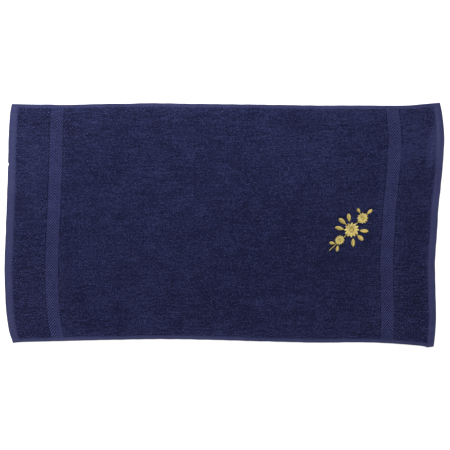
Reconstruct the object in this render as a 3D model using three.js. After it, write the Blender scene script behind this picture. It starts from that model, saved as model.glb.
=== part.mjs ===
// A bath towel of looped terry that lies flat on its underside, in millimetres with +Z up.
// Its length runs along X and its width along Y. The surface that it lies on is at Z = 0,
// and the middle of its outline's box is at X = Y = 0.
// The towel is one woven length: the hems, the ribbed borders and the selvedges are part of it.
import * as THREE from 'three';
import { mergeVertices } from 'three/addons/utils/BufferGeometryUtils.js';

// Nominal run of the cloth along each axis, which the distances from an edge are measured on
const clothLength = 1293;
const clothWidth = 711;

// Heights above the surface: of the loops' tips, of the flat-woven border and of the cloth's rim
const pileTop = 4.2;
const borderTop = 2.9;
const borderUnder = 1.2;
const rimHeight = 1.3;

// Widths of the hem at each end, of the border and of the step from loops to flat weave
const hemWidth = 23;
const borderWidth = 38;
const stepWidth = 3;

// Distance of each border from its own end of the towel
const leftBorderFrom = 123;
const rightBorderFrom = 128;

// Herringbone ribs of the borders: the step from rib to rib across the towel, their height,
// the slope at which both arms of a rib climb to its point in the border's middle, and the
// plain selvedge that they stop at
const ribPitch = 8.6;
const ribHeight = 0.6;
const ribSlope = THREE.MathUtils.degToRad(47);
const selvedgeWidth = 10.5;

// The largest facet along the length and across the width
const longestCell = 50;
const widestCell = 46;

// The four edges as the towel lies, a row for each turn of the line
const farEdge = [
  { x: -636.4, y: 362.8 },
  { x: -559.6, y: 360.2 },
  { x: -475.6, y: 358.8 },
  { x: -349.6, y: 363.6 },
  { x: -223.6, y: 365.2 },
  { x: -97.6, y: 362.9 },
  { x: 28.4, y: 361.8 },
  { x: 154.4, y: 360.1 },
  { x: 280.4, y: 358.2 },
  { x: 406.4, y: 358.4 },
  { x: 532.4, y: 357.6 },
  { x: 598.4, y: 362.4 },
  { x: 645.4, y: 366.7 },
];

const nearEdge = [
  { x: -633.4, y: -353.4 },
  { x: -601.6, y: -350.7 },
  { x: -517.6, y: -348.7 },
  { x: -391.6, y: -345.5 },
  { x: -265.6, y: -342.9 },
  { x: -181.6, y: -342.0 },
  { x: -55.6, y: -344.0 },
  { x: 70.4, y: -347.6 },
  { x: 196.4, y: -350.8 },
  { x: 280.4, y: -352.7 },
  { x: 406.4, y: -351.8 },
  { x: 490.4, y: -354.5 },
  { x: 574.4, y: -360.7 },
  { x: 600.2, y: -364.3 },
  { x: 607.4, y: -366.7 },
  { x: 626.6, y: -364.2 },
];

const leftEnd = [
  { x: -633.4, y: -353.4 },
  { x: -637.3, y: -341.0 },
  { x: -645.6, y: -314.7 },
  { x: -652.7, y: -266.7 },
  { x: -656.2, y: -218.7 },
  { x: -658.5, y: -146.7 },
  { x: -658.3, y: -98.7 },
  { x: -655.3, y: -26.7 },
  { x: -651.9, y: 69.3 },
  { x: -648.5, y: 165.3 },
  { x: -646.4, y: 261.3 },
  { x: -642.0, y: 333.3 },
  { x: -636.4, y: 362.8 },
];

const rightEnd = [
  { x: 626.6, y: -364.2 },
  { x: 630.4, y: -332.7 },
  { x: 633.6, y: -290.7 },
  { x: 633.5, y: -242.7 },
  { x: 631.1, y: -146.7 },
  { x: 631.4, y: -98.7 },
  { x: 636.7, y: -26.7 },
  { x: 640.8, y: 45.3 },
  { x: 648.3, y: 117.3 },
  { x: 655.1, y: 189.3 },
  { x: 658.5, y: 249.0 },
  { x: 657.5, y: 285.3 },
  { x: 652.3, y: 333.3 },
  { x: 645.4, y: 366.7 },
];

// Low rises where the cloth doesn't lie quite flat: the middle of each, the turn of its long
// axis in degrees, its half length, its half width and its height
const rises = [
  { x: -470, y: 330, turn: -4, long: 170, wide: 55, high: 2.6 },
  { x: -150, y: 335, turn: 3, long: 150, wide: 48, high: 1.8 },
  { x: 330, y: 330, turn: -2, long: 190, wide: 60, high: 2.4 },
  { x: 590, y: 250, turn: 70, long: 130, wide: 52, high: 2.8 },
  { x: 560, y: -330, turn: -12, long: 120, wide: 55, high: 3.0 },
  { x: 180, y: -325, turn: -3, long: 180, wide: 52, high: 2.2 },
  { x: -240, y: -318, turn: 4, long: 160, wide: 50, high: 2.0 },
  { x: -600, y: -230, turn: 80, long: 120, wide: 48, high: 2.6 },
  { x: -330, y: 60, turn: 12, long: 130, wide: 70, high: 1.2 },
  { x: 400, y: -110, turn: -18, long: 140, wide: 75, high: 1.3 },
];

// Creases left by storing the towel folded: the distance of each from the left end or from the
// near edge, its half width and how far it stands up, or sinks where that is below zero
const crossCreases = [
  { from: 323, half: 15, high: 0.8 },
  { from: 650, half: 18, high: -0.9 },
  { from: 985, half: 15, high: 0.8 },
];

const longCreases = [
  { from: 104, half: 14, high: 0.6 },
  { from: 284, half: 16, high: -0.7 },
  { from: 521, half: 14, high: 0.7 },
];

// Sections from an end inwards: the distance from the edge, and both faces' heights
function endSections(borderFrom) {
  const half = stepWidth / 2;
  return [
    { from: 0, top: rimHeight, under: rimHeight },
    { from: 1.2, top: 2.6, under: 0.3 },
    { from: 3.5, top: 3.0, under: 0 },
    { from: 12, top: 2.6, under: 0 },
    { from: hemWidth - half, top: 2.5, under: 0 },
    { from: hemWidth + half, top: pileTop - 0.2, under: 0 },
    { from: hemWidth + 12, top: pileTop, under: 0 },
    { from: borderFrom - half, top: pileTop, under: 0 },
    { from: borderFrom + half, top: borderTop, under: borderUnder },
    { from: borderFrom + borderWidth / 2, top: borderTop, under: borderUnder },
    { from: borderFrom + borderWidth - half, top: borderTop, under: borderUnder },
    { from: borderFrom + borderWidth + half, top: pileTop, under: 0 },
  ];
}

// Sections from a long edge inwards, over the selvedge and up to the loops
const sideSections = [
  { from: 0, top: rimHeight, under: rimHeight },
  { from: 1.2, top: 2.3, under: 0.3 },
  { from: 3.5, top: 2.6, under: 0.1 },
  { from: 7.5, top: 2.3, under: 0.1 },
  { from: selvedgeWidth, top: pileTop - 0.3, under: 0 },
  { from: 20, top: pileTop, under: 0 },
];

const leftSections = endSections(leftBorderFrom);
const rightSections = endSections(rightBorderFrom);

// One face's height at a distance from an edge, on the straight line between two sections
function sectionHeight(sections, distance, face) {
  const next = sections.findIndex(({ from }) => from > distance);
  if (next === -1) {
    return sections.at(-1)[face];
  }
  const before = sections[next - 1];
  const after = sections[next];
  const share = (distance - before.from) / (after.from - before.from);
  return THREE.MathUtils.lerp(before[face], after[face], share);
}

// A smooth hump of height 1, where reach is the squared distance over the squared half size
function hump(reach) {
  return Math.max(0, 1 - reach) ** 2;
}

// How far the rises lift the whole cloth at a point
function liftAt(x, y) {
  return rises.reduce((sum, rise) => {
    const offset = new THREE.Vector2(x - rise.x, y - rise.y);
    offset.rotateAround(new THREE.Vector2(), -THREE.MathUtils.degToRad(rise.turn));
    return sum + rise.high * hump((offset.x / rise.long) ** 2 + (offset.y / rise.wide) ** 2);
  }, 0);
}

// How far creases raise the loops at a distance from the edge that they are measured from
function creaseAt(creases, distance) {
  const share = ({ from, half, high }) => high * hump(((distance - from) / half) ** 2);
  return creases.reduce((sum, crease) => sum + share(crease), 0);
}

// Distances at which the cloth has a row of points: all those given, and even steps between
function stations(given, largest) {
  const sorted = [...new Set(given)].sort((a, b) => a - b);
  return sorted.flatMap((start, i) => {
    const gap = (sorted[i + 1] ?? start) - start;
    const steps = Math.max(1, Math.ceil(gap / largest));
    return Array.from({ length: steps }, (unused, step) => start + (gap * step) / steps);
  });
}

const creaseStations = (creases) => creases.flatMap(({ from, half }) => [from - half, from, from + half]);

const lengthStations = stations(
  [
    ...leftSections.map(({ from }) => from),
    ...creaseStations(crossCreases),
    ...rightSections.map(({ from }) => clothLength - from),
  ],
  longestCell,
);

const widthStations = stations(
  [
    ...sideSections.map(({ from }) => from),
    ...creaseStations(longCreases),
    ...sideSections.map(({ from }) => clothWidth - from),
  ],
  widestCell,
);

const edgeCurve = (rows) => new THREE.SplineCurve(rows.map(({ x, y }) => new THREE.Vector2(x, y)));
const edges = {
  far: edgeCurve(farEdge),
  near: edgeCurve(nearEdge),
  left: edgeCurve(leftEnd),
  right: edgeCurve(rightEnd),
};

// The place of a cloth point within the four edges, from its share of the length and the width:
// the sheet ruled between the ends, plus the one between the long edges, less what both count
function placeOf(along, across) {
  const ruledEnds = edges.left.getPointAt(across).lerp(edges.right.getPointAt(across), along);
  const ruledSides = edges.near.getPointAt(along).lerp(edges.far.getPointAt(along), across);
  const nearCorners = edges.near.getPointAt(0).lerp(edges.near.getPointAt(1), along);
  const farCorners = edges.far.getPointAt(0).lerp(edges.far.getPointAt(1), along);
  return ruledEnds.add(ruledSides).sub(nearCorners.lerp(farCorners, across));
}

// A point of the upper face or the underside, from its distances along the length and the
// width, raised by a rib where it is on one
function clothPoint(face, length, width, rib = 0) {
  const { x, y } = placeOf(length / clothLength, width / clothWidth);
  const heights = [
    sectionHeight(leftSections, length, face),
    sectionHeight(rightSections, clothLength - length, face),
    sectionHeight(sideSections, width, face),
    sectionHeight(sideSections, clothWidth - width, face),
  ];
  if (face === 'under') {
    return new THREE.Vector3(x, y, liftAt(x, y) + Math.max(...heights));
  }
  const height = Math.min(...heights);
  const creases = creaseAt(crossCreases, length) + creaseAt(longCreases, width);
  return new THREE.Vector3(x, y, liftAt(x, y) + height + (height > borderTop ? creases : rib));
}

// How far a column of points is inside its border, or null on the looped cloth
function insideBorder(length) {
  const inward = [length - leftBorderFrom, clothLength - length - rightBorderFrom];
  return inward.find((inside) => inside > 0 && inside < borderWidth) ?? null;
}

// The rows of a column that crosses the ribs, which run further up the width the nearer the
// column is to the border's middle. Rows that would run off the border stop at its selvedge.
function ribRows(inside) {
  const reach = (borderWidth / 2) * Math.tan(ribSlope);
  const climb = Math.min(inside, borderWidth - inside) * Math.tan(ribSlope);
  const start = selvedgeWidth;
  const end = clothWidth - selvedgeWidth;
  const halfPitch = ribPitch / 2;
  const below = Math.ceil(reach / halfPitch);
  const count = below + Math.floor((end - start) / halfPitch);
  return Array.from({ length: count }, (unused, i) => {
    const width = THREE.MathUtils.clamp(start + (i - below) * halfPitch + climb, start, end);
    const raised = i % 2 === 1 && width > start && width < end;
    return { width, rib: raised ? ribHeight : 0 };
  });
}

// One column of points across the towel on one face, from the near edge to the far one
function column(face, length) {
  const inside = face === 'top' ? insideBorder(length) : null;
  const onSelvedges = ({ width }) => width <= selvedgeWidth || width >= clothWidth - selvedgeWidth;
  const plain = widthStations.map((width) => ({ width, rib: 0 }));
  const near = plain.filter((row) => onSelvedges(row) && row.width < clothWidth / 2);
  const far = plain.filter((row) => onSelvedges(row) && row.width > clothWidth / 2);
  const rows = inside === null ? plain : [...near, ...ribRows(inside), ...far];
  return {
    ribbed: inside !== null,
    rows: rows.map(({ width, rib }) => ({ width, point: clothPoint(face, length, width, rib) })),
  };
}

// Triangles between two columns of ribbed cloth, whose points pair up one to one
function ribbedStrip(before, after) {
  return before.slice(1).flatMap((unused, i) => [
    [before[i], after[i], after[i + 1]],
    [before[i], after[i + 1], before[i + 1]],
  ]);
}

// Triangles between two columns of any number of points, each time taking the nearer next point
function plainStrip(before, after) {
  const triangles = [];
  let i = 0;
  let j = 0;
  while (i < before.length - 1 || j < after.length - 1) {
    const nextBefore = before[i + 1]?.width ?? Infinity;
    const nextAfter = after[j + 1]?.width ?? Infinity;
    const next = nextBefore <= nextAfter ? before[i + 1] : after[j + 1];
    triangles.push([before[i], after[j], next]);
    i += nextBefore <= nextAfter ? 1 : 0;
    j += nextBefore <= nextAfter ? 0 : 1;
  }
  return triangles;
}

// One face of the towel as triangles that look up, or down for the underside
function clothFace(face) {
  const columns = lengthStations.map((length) => column(face, length));
  const triangles = columns.slice(1).flatMap((after, i) => {
    const before = columns[i];
    const strip = before.ribbed && after.ribbed ? ribbedStrip : plainStrip;
    return strip(before.rows, after.rows);
  });
  const points = triangles.map((corners) => corners.map(({ point }) => point));
  const whole = points.filter(([a, b, c]) => !a.equals(b) && !b.equals(c) && !c.equals(a));
  return face === 'top' ? whole : whole.map((corners) => corners.reverse());
}

// Both faces meet in the same points round the rim, which closes the solid
function towelGeometry() {
  const triangles = [...clothFace('top'), ...clothFace('under')];
  const solid = mergeVertices(new THREE.BufferGeometry().setFromPoints(triangles.flat()));
  solid.computeBoundingBox();
  const middle = solid.boundingBox.getCenter(new THREE.Vector3());
  solid.translate(-middle.x, -middle.y, 0);
  solid.computeVertexNormals();
  return solid;
}

const terry = new THREE.MeshStandardMaterial({ color: 0x262a49, roughness: 0.95, metalness: 0 });

const towel = new THREE.Mesh(towelGeometry(), terry);
towel.name = 'towel';

const bathTowel = new THREE.Group();
bathTowel.add(towel);

export default bathTowel;
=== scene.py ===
# %% [markdown]
# A bath towel of looped terry, spread out flat and seen from straight above. This lesson dresses
# the solid towel that the frame brings: first the woven sheet with its hems, borders and
# selvedges, then the sewing, the stitched motif and the loops. Everything small is laid out on
# the flat cloth by Geometry Nodes, as a weaver would plan it, and is then carried to where that
# bit of cloth lies.

# %% Load the frame
import math

import bpy
import numpy as np
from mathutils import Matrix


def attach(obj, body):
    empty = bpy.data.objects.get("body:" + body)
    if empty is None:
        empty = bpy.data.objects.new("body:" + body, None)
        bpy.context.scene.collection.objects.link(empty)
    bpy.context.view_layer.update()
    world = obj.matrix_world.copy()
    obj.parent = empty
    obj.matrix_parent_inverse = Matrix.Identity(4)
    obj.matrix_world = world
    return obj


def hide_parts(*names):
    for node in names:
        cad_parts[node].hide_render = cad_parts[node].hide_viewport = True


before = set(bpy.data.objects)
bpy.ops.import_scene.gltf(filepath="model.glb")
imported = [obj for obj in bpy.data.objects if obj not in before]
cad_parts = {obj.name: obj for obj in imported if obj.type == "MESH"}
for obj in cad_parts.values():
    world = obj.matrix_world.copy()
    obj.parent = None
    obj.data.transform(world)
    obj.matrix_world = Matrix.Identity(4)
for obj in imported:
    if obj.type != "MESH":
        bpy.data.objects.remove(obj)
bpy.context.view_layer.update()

MM = 0.001

# %% [markdown]
# A towel is woven with straight edges, and its outline goes uneven as it is washed and laid
# down: the ends bow out, the corners draw out and the long sides wander by a few millimetres.
# Each edge is a smooth line through a few points read off the towel, with a ripple of less than
# half a millimetre, and the left end has one small nick where its fold was pinched. The four
# lines frame one patch of cloth, and every point of the cloth gets its place from its distance
# along the length and across the width. The same function later places loops and stitches, so
# nothing slides.

# %% The four edges and the place of each point of the cloth
CLOTH_LENGTH = 1293 * MM
CLOTH_WIDTH = 711 * MM

FAR_EDGE = [
    (-636.4, 362.8), (-559.6, 360.8), (-520, 361.0), (-475.6, 359.6), (-349.6, 363.2),
    (-300, 363.2), (-223.6, 365.2), (-97.6, 363.2), (28.4, 361.8), (154.4, 360.1),
    (280.4, 358.0), (406.4, 358.2), (532.4, 357.6), (598.4, 362.4), (645.4, 366.7),
]
NEAR_EDGE = [
    (-633.4, -353.4), (-601.6, -350.7), (-517.6, -348.7), (-391.6, -345.5), (-265.6, -342.9),
    (-181.6, -342.0), (-55.6, -344.0), (70.4, -347.6), (196.4, -350.8), (280.4, -352.7),
    (406.4, -351.8), (490.4, -354.5), (574.4, -360.7), (600.2, -364.3), (607.4, -366.7),
    (626.6, -364.2),
]
LEFT_END = [
    (-633.4, -353.4), (-637.3, -341.0), (-645.6, -314.7), (-652.7, -266.7), (-656.2, -218.7),
    (-658.5, -146.7), (-658.3, -98.7), (-655.3, -26.7), (-651.9, 69.3), (-648.5, 165.3),
    (-646.4, 261.3), (-642.0, 333.3), (-636.4, 362.8),
]
RIGHT_END = [
    (626.6, -364.2), (630.4, -332.7), (633.6, -290.7), (633.5, -242.7), (631.1, -146.7),
    (631.4, -98.7), (636.7, -26.7), (640.8, 45.3), (648.3, 117.3), (655.1, 189.3),
    (658.5, 249.0), (657.5, 285.3), (652.3, 333.3), (645.4, 366.7),
]
POINTS_PER_TURN = 60
EDGE_RIPPLE = 0.45 * MM
# Each wave of the ripple: length in metres, start, and share of the ripple's height
RIPPLE_WAVES = [(0.047, 0.4, 0.5), (0.083, 2.1, 0.3), (0.131, 4.4, 0.2)]
# The nick: distance along the left end, half width, depth, and how fast it fades inwards
NICK = 531.5 * MM
NICK_HALF = 7 * MM
NICK_DEPTH = 2.4 * MM
NICK_FADE = 60


def smooth_line(points):
    """A smooth line through the points, as a function of the share of its length."""
    knots = np.array(points) * MM
    padded = np.vstack([knots[:1], knots, knots[-1:]])
    t = np.linspace(0, 1, POINTS_PER_TURN, endpoint=False)[:, None]
    turns = []
    for before, start, end, after in zip(padded, padded[1:], padded[2:], padded[3:]):
        leave = (end - before) / 2
        arrive = (after - start) / 2
        cubic = (2 * (start - end) + leave + arrive) * t**3
        square = (3 * (end - start) - 2 * leave - arrive) * t**2
        turns.append(cubic + square + leave * t + start)
    line = np.vstack([*turns, knots[-1:]])
    steps = np.linalg.norm(np.diff(line, axis=0), axis=1)
    share = np.concatenate([[0], np.cumsum(steps)]) / steps.sum()
    return lambda at: np.stack([np.interp(at, share, line[:, axis]) for axis in (0, 1)], -1)


far_line, near_line, left_line, right_line = map(
    smooth_line, (FAR_EDGE, NEAR_EDGE, LEFT_END, RIGHT_END)
)


def blend(start, end, share):
    return start * (1 - share[..., None]) + end * share[..., None]


def ripple(distance):
    """The small wander of an edge between its larger turns."""
    waves = [high * np.sin(math.tau * distance / long + turn) for long, turn, high in RIPPLE_WAVES]
    return EDGE_RIPPLE * sum(waves)


def patch(length, width):
    """Where the cloth lies, from the distance along its length and across its width."""
    along = length / CLOTH_LENGTH
    across = width / CLOTH_WIDTH
    ruled_ends = blend(left_line(across), right_line(across), along)
    ruled_sides = blend(near_line(along), far_line(along), across)
    near_corners = blend(near_line(0), near_line(1), along)
    far_corners = blend(far_line(0), far_line(1), along)
    return ruled_ends + ruled_sides - blend(near_corners, far_corners, across)


def hump(reach):
    """A smooth hump of height 1, from the squared distance over the squared half size."""
    return np.maximum(0, 1 - reach) ** 2


def nick(length, width):
    """How far the left end is pushed in, and the cloth beside it less and less."""
    fade = np.clip(1 - length / CLOTH_LENGTH, 0, 1) ** NICK_FADE
    return NICK_DEPTH * hump(((width - NICK) / NICK_HALF) ** 2) * fade


RIM_POINTS = 400
rim = np.linspace(0, 1, RIM_POINTS)
rim_points = np.vstack([line(rim) for line in (far_line, near_line, left_line, right_line)])
rim_middle = (rim_points.min(0) + rim_points.max(0)) / 2


def place(length, width):
    """The patch with its middle on the frame's, and with its edges' ripple and nick."""
    xy = patch(length, width) - rim_middle
    along = np.clip(length / CLOTH_LENGTH, 0, 1)
    across = np.clip(width / CLOTH_WIDTH, 0, 1)
    inside_ends = 4 * along * (1 - along)
    inside_sides = 4 * across * (1 - across)
    xy[..., 1] += ripple(length) * (2 * across - 1) ** 3 * inside_ends
    xy[..., 0] += ripple(width + CLOTH_LENGTH) * (2 * along - 1) ** 3 * inside_sides
    xy[..., 0] += nick(length, width)
    return xy


print("outline, mm:", np.round((rim_points.max(0) - rim_points.min(0)) / MM, 1))

# %% [markdown]
# Cloth never lies quite flat. A few low rises lift it by one to three millimetres, mostly near
# the edges, and the folds that it was stored in leave soft creases at each quarter of its
# length. Both are short tables of humps, because a simulation of cloth that lies still on a
# flat surface would only find the surface again. A third table is for the colour, and it holds
# both brushed pile and painted light. Where a hand has brushed the pile up it looks paler, and
# where it lies down the other way, darker. The paler places at the left end are painted light,
# for the lamp's light falling on that end.

# %% Rises, creases, and brushed places with painted light
# Each rise: middle x and y, turn of its long axis in degrees, half length, half width, height
RISES = [
    (-470, 330, -4, 170, 55, 2.6), (-150, 335, 3, 150, 48, 1.8), (330, 330, -2, 190, 60, 2.4),
    (590, 250, 70, 130, 52, 2.8), (560, -330, -12, 120, 55, 3.0), (180, -325, -3, 180, 52, 2.2),
    (-240, -318, 4, 160, 50, 2.0), (-600, -230, 80, 120, 48, 2.6), (-330, 60, 12, 130, 70, 1.2),
    (400, -110, -18, 140, 75, 1.3),
]
# Each crease: distance from the left end or the near edge, half width, height
CROSS_CREASES = [(323, 15, 0.8), (650, 18, -0.9), (985, 15, 0.8)]
LONG_CREASES = [(104, 14, 0.6), (284, 16, -0.7), (521, 14, 0.7)]
# Each brushed place, some of them painted light: middle x and y, turn, half length, half width, how
# much paler
BRUSHED_AND_PAINTED_LIGHT = [
    (-577, 200, 90, 200, 62, 0.20), (-585, -275, 90, 110, 66, 0.16), (565, 240, 82, 140, 66, 0.18),
    (400, 335, 0, 260, 70, 0.15), (430, -270, 0, 130, 90, 0.08), (190, -60, -10, 350, 200, -0.14),
    (-400, 170, 20, 130, 90, -0.05), (270, 210, 10, 190, 110, 0.13), (626, 240, 82, 110, 26, 0.90),
    (-120, 330, 0, 330, 60, 0.07), (-250, -330, 0, 420, 30, 0.14), (20, -230, 0, 260, 100, -0.08),
    (572, -110, 90, 210, 62, -0.08), (-650, 270, 88, 130, 18, -0.16),
    (-525, -270, 93, 120, 30, 0.09), (-640, -290, 115, 60, 30, 0.10),
    (650, 340, 100, 50, 18, -0.30), (642, 235, 82, 115, 13, -0.24),
]
PILE_TOP = 4.2 * MM


def humps(table, xy):
    """The sum of a table's humps at each point."""
    total = np.zeros(xy.shape[:-1])
    for x, y, turn, long, wide, high in table:
        cos, sin = math.cos(math.radians(turn)), math.sin(math.radians(turn))
        dx = xy[..., 0] - x * MM
        dy = xy[..., 1] - y * MM
        u = (dx * cos + dy * sin) / (long * MM)
        v = (dy * cos - dx * sin) / (wide * MM)
        total += high * hump(u**2 + v**2)
    return total


def crease(creases, distance):
    return sum(high * MM * hump(((distance / MM - at) / half) ** 2) for at, half, high in creases)


def lay(points):
    """Carries points from the flat cloth, x along its length and y across it, to the towel."""
    length, width, height = points.T
    xy = place(length, width)
    creases = crease(CROSS_CREASES, length) + crease(LONG_CREASES, width)
    above = np.clip(height / PILE_TOP, 0, 1)
    return np.column_stack([xy, height + humps(RISES, xy) * MM + creases * above])


print("rises:", len(RISES), "creases:", len(CROSS_CREASES + LONG_CREASES),
      "brushed places:", len(BRUSHED_AND_PAINTED_LIGHT))

# %% [markdown]
# The sheet itself is one closed skin: an upper face, an underside and a rim between them. Its
# thickness changes with the weave. From an end inwards come the rolled edge of the hem, the hem
# with its row of sewing, the looped end panel, the flat border and the looped field. A long side
# has only its selvedge, and the near one has rolled up a little higher than the far one. Each
# face's height is looked up in a table of sections, and the thinner of the two directions wins.
# Under the loops the skin is only the ground weave, because the loops that stand on it are made
# later.

# %% Sections of the cloth
HEM = 23 * MM
BORDER = 38 * MM
LEFT_BORDER = 123 * MM
RIGHT_BORDER = 128 * MM
FAR_SELVEDGE = 10 * MM
NEAR_SELVEDGE = 12 * MM
GROUND = 2.6
FLAT = 2.3

# From an end inwards, and from a long side inwards: distance, upper face, underside
HEM_SECTIONS = [
    (0, 1.3, 1.3), (0.5, 2.2, 0.5), (1.4, 2.8, 0.15), (2.8, 3.0, 0), (4.2, 2.9, 0), (6.5, 2.5, 0),
    (12, 2.5, 0), (17.5, 2.6, 0), (19.2, 2.2, 0), (20.0, 1.9, 0), (20.8, 2.2, 0), (22.5, 2.5, 0),
    (24.5, 2.3, 0), (27, GROUND, 0),
]
FAR_SECTIONS = [
    (0, 1.3, 1.3), (0.5, 2.0, 0.5), (1.4, 2.5, 0.15), (2.8, 2.7, 0), (4.2, 2.5, 0), (6.5, 2.2, 0.1),
    (8.5, 2.2, 0.1), (10.5, 2.3, 0), (13, GROUND, 0),
]
NEAR_SECTIONS = [
    (0, 1.3, 1.3), (0.5, 2.4, 0.5), (1.4, 3.3, 0.15), (2.8, 3.7, 0), (4.2, 3.7, 0), (6.5, 3.3, 0.1),
    (8.5, 2.8, 0.1), (10.5, 2.5, 0), (13, GROUND, 0),
]


def border_sections(start):
    start, end = start / MM, (start + BORDER) / MM
    return [
        (start - 2, GROUND, 0), (start, FLAT, 0.9), (start + 1.5, FLAT, 1.2),
        (end - 1.5, FLAT, 1.2), (end, FLAT, 0.9), (end + 2, GROUND, 0),
    ]


left_sections = HEM_SECTIONS + border_sections(LEFT_BORDER)
right_sections = HEM_SECTIONS + border_sections(RIGHT_BORDER)


def section_height(sections, distance, face):
    starts, tops, unders = np.array(sections).T * MM
    return np.interp(distance, starts, tops if face == "top" else unders)


def skin_height(length, width, face):
    heights = [
        section_height(left_sections, length, face),
        section_height(right_sections, CLOTH_LENGTH - length, face),
        section_height(NEAR_SECTIONS, width, face),
        section_height(FAR_SECTIONS, CLOTH_WIDTH - width, face),
    ]
    return np.min(heights, 0) if face == "top" else np.max(heights, 0)


def rows(given, total, step):
    """Distances with a row of points: those given, from both edges, and even steps between."""
    ends = np.array([0.0, total])
    fixed = np.unique(np.round(np.concatenate([given[0], total - given[1], ends]), 7))
    spans = [
        np.linspace(low, high, max(1, math.ceil((high - low) / step)), endpoint=False)
        for low, high in zip(fixed, fixed[1:])
    ]
    return np.concatenate([*spans, [total]])


def starts_of(sections):
    return np.array(sections)[:, 0] * MM


TOP_STEP = 9 * MM
NICK_ROWS = 7
length_rows = rows((starts_of(left_sections), starts_of(right_sections)), CLOTH_LENGTH, TOP_STEP)
width_rows = rows((starts_of(NEAR_SECTIONS), starts_of(FAR_SECTIONS)), CLOTH_WIDTH, TOP_STEP)
nick_rows = np.linspace(NICK - NICK_HALF, NICK + NICK_HALF, NICK_ROWS)
width_rows = np.unique([*width_rows, *nick_rows])
print("rows of points:", len(length_rows), "by", len(width_rows))

# %% [markdown]
# The upper face is a grid over those rows. The underside, which lies on the surface, keeps only
# some of them, and one ring of triangles joins the fine rim to it. Each point also gets its flat
# place on the cloth as a UV map, in metres, so that woven patterns follow the cloth.

# %% Build the sheet
UNDER_STEP = 15 * MM
RIM_KEPT = 4 * MM


def thinned(all_rows, staying):
    """The rows near the edges and the staying ones, and of the others only a row each step."""
    kept = [all_rows[0]]
    first, last = all_rows[0], all_rows[-1]
    for row in all_rows[1:-1]:
        stays = min(row - first, last - row) < RIM_KEPT or np.isclose(row, staying).any()
        if stays or (row - kept[-1] >= UNDER_STEP and last - row > RIM_KEPT + UNDER_STEP / 2):
            kept.append(row)
    return np.array([*kept, last])


def grid_faces(columns, rows_across, offset=0, flip=False):
    index = offset + np.arange(columns * rows_across).reshape(columns, rows_across)
    quads = np.stack([index[:-1, :-1], index[1:, :-1], index[1:, 1:], index[:-1, 1:]], -1)
    quads = quads.reshape(-1, 4)
    return quads[:, ::-1] if flip else quads


def ring(index):
    """The indices round a grid's outside, in order."""
    return np.concatenate([index[:-1, 0], index[-1, :-1], index[:0:-1, -1], index[0, :0:-1]])


def stitch_rings(outer, inner, outer_at, inner_at):
    """Triangles between two closed rings, each time stepping to the nearer next point."""
    faces = []
    i = j = 0
    while i < len(outer) or j < len(inner):
        next_outer = outer_at[i + 1] if i < len(outer) else math.inf
        next_inner = inner_at[j + 1] if j < len(inner) else math.inf
        a, b = outer[i % len(outer)], inner[j % len(inner)]
        if next_outer <= next_inner:
            i += 1
            faces.append((b, outer[i % len(outer)], a))
        else:
            j += 1
            faces.append((a, b, inner[j % len(inner)]))
    return faces


def round_the_edge(length, width):
    """How far round the rectangle of the flat cloth each point of a ring lies, from 0 to 4."""
    u = length / CLOTH_LENGTH
    v = width / CLOTH_WIDTH
    side = np.argmin([v, 1 - u, 1 - v, u], axis=0)
    return side + np.choose(side, [u, v, 1 - u, 1 - v])


def build_sheet():
    length, width = np.meshgrid(length_rows, width_rows, indexing="ij")
    top = np.stack([length, width, skin_height(length, width, "top")], -1).reshape(-1, 3)
    top_index = np.arange(len(top)).reshape(length.shape)

    # The underside starts one row in from the rim
    inner_length = thinned(length_rows[1:-1], [])
    inner_width = thinned(width_rows[1:-1], nick_rows)
    under_length, under_width = np.meshgrid(inner_length, inner_width, indexing="ij")
    under_height = skin_height(under_length, under_width, "under")
    under = np.stack([under_length, under_width, under_height], -1).reshape(-1, 3)
    under_index = len(top) + np.arange(len(under)).reshape(under_length.shape)

    outer, inner = ring(top_index), ring(under_index)
    flat = np.vstack([top, under])
    around = round_the_edge(flat[outer, 0], flat[outer, 1])
    outer_at = np.concatenate([around, [4.0]])
    shrunk = (flat[inner, :2] - [inner_length[0], inner_width[0]])
    shrunk *= [CLOTH_LENGTH / np.ptp(inner_length), CLOTH_WIDTH / np.ptp(inner_width)]
    inner_at = np.concatenate([round_the_edge(*shrunk.T), [4.0]])
    rim_faces = stitch_rings(outer, inner, outer_at, inner_at)
    faces = [
        *grid_faces(*length.shape).tolist(),
        *grid_faces(*under_length.shape, len(top), flip=True).tolist(),
        *rim_faces,
    ]
    return flat, faces


flat_points, sheet_faces = build_sheet()
print("sheet:", len(flat_points), "points,", len(sheet_faces), "faces")

# %% [markdown]
# Shader sums read better as sums. A Wire is a number on its way through a node tree, and adding
# or multiplying wires adds the Math nodes. Every other node is made by one method, which takes
# the node's type, its settings and what its sockets hold. The same two classes serve shader
# trees and geometry trees.

# %% Helpers for node trees
class Wire:
    """The output of a node, as a number that can be used in sums."""

    def __init__(self, tree, socket):
        self.tree = tree
        self.socket = socket

    def sum(self, operation, first, second):
        node = self.tree.make("ShaderNodeMath", {"operation": operation}, {0: first, 1: second})
        return Wire(self.tree, node.outputs[0])

    def __add__(self, other):
        return self.sum("ADD", self, other)

    def __sub__(self, other):
        return self.sum("SUBTRACT", self, other)

    def __rsub__(self, other):
        return self.sum("SUBTRACT", other, self)

    def __mul__(self, other):
        return self.sum("MULTIPLY", self, other)

    def __truediv__(self, other):
        return self.sum("DIVIDE", self, other)

    def __rtruediv__(self, other):
        return self.sum("DIVIDE", other, self)

    def __pow__(self, other):
        return self.sum("POWER", self, other)

    __radd__ = __add__
    __rmul__ = __mul__


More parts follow.
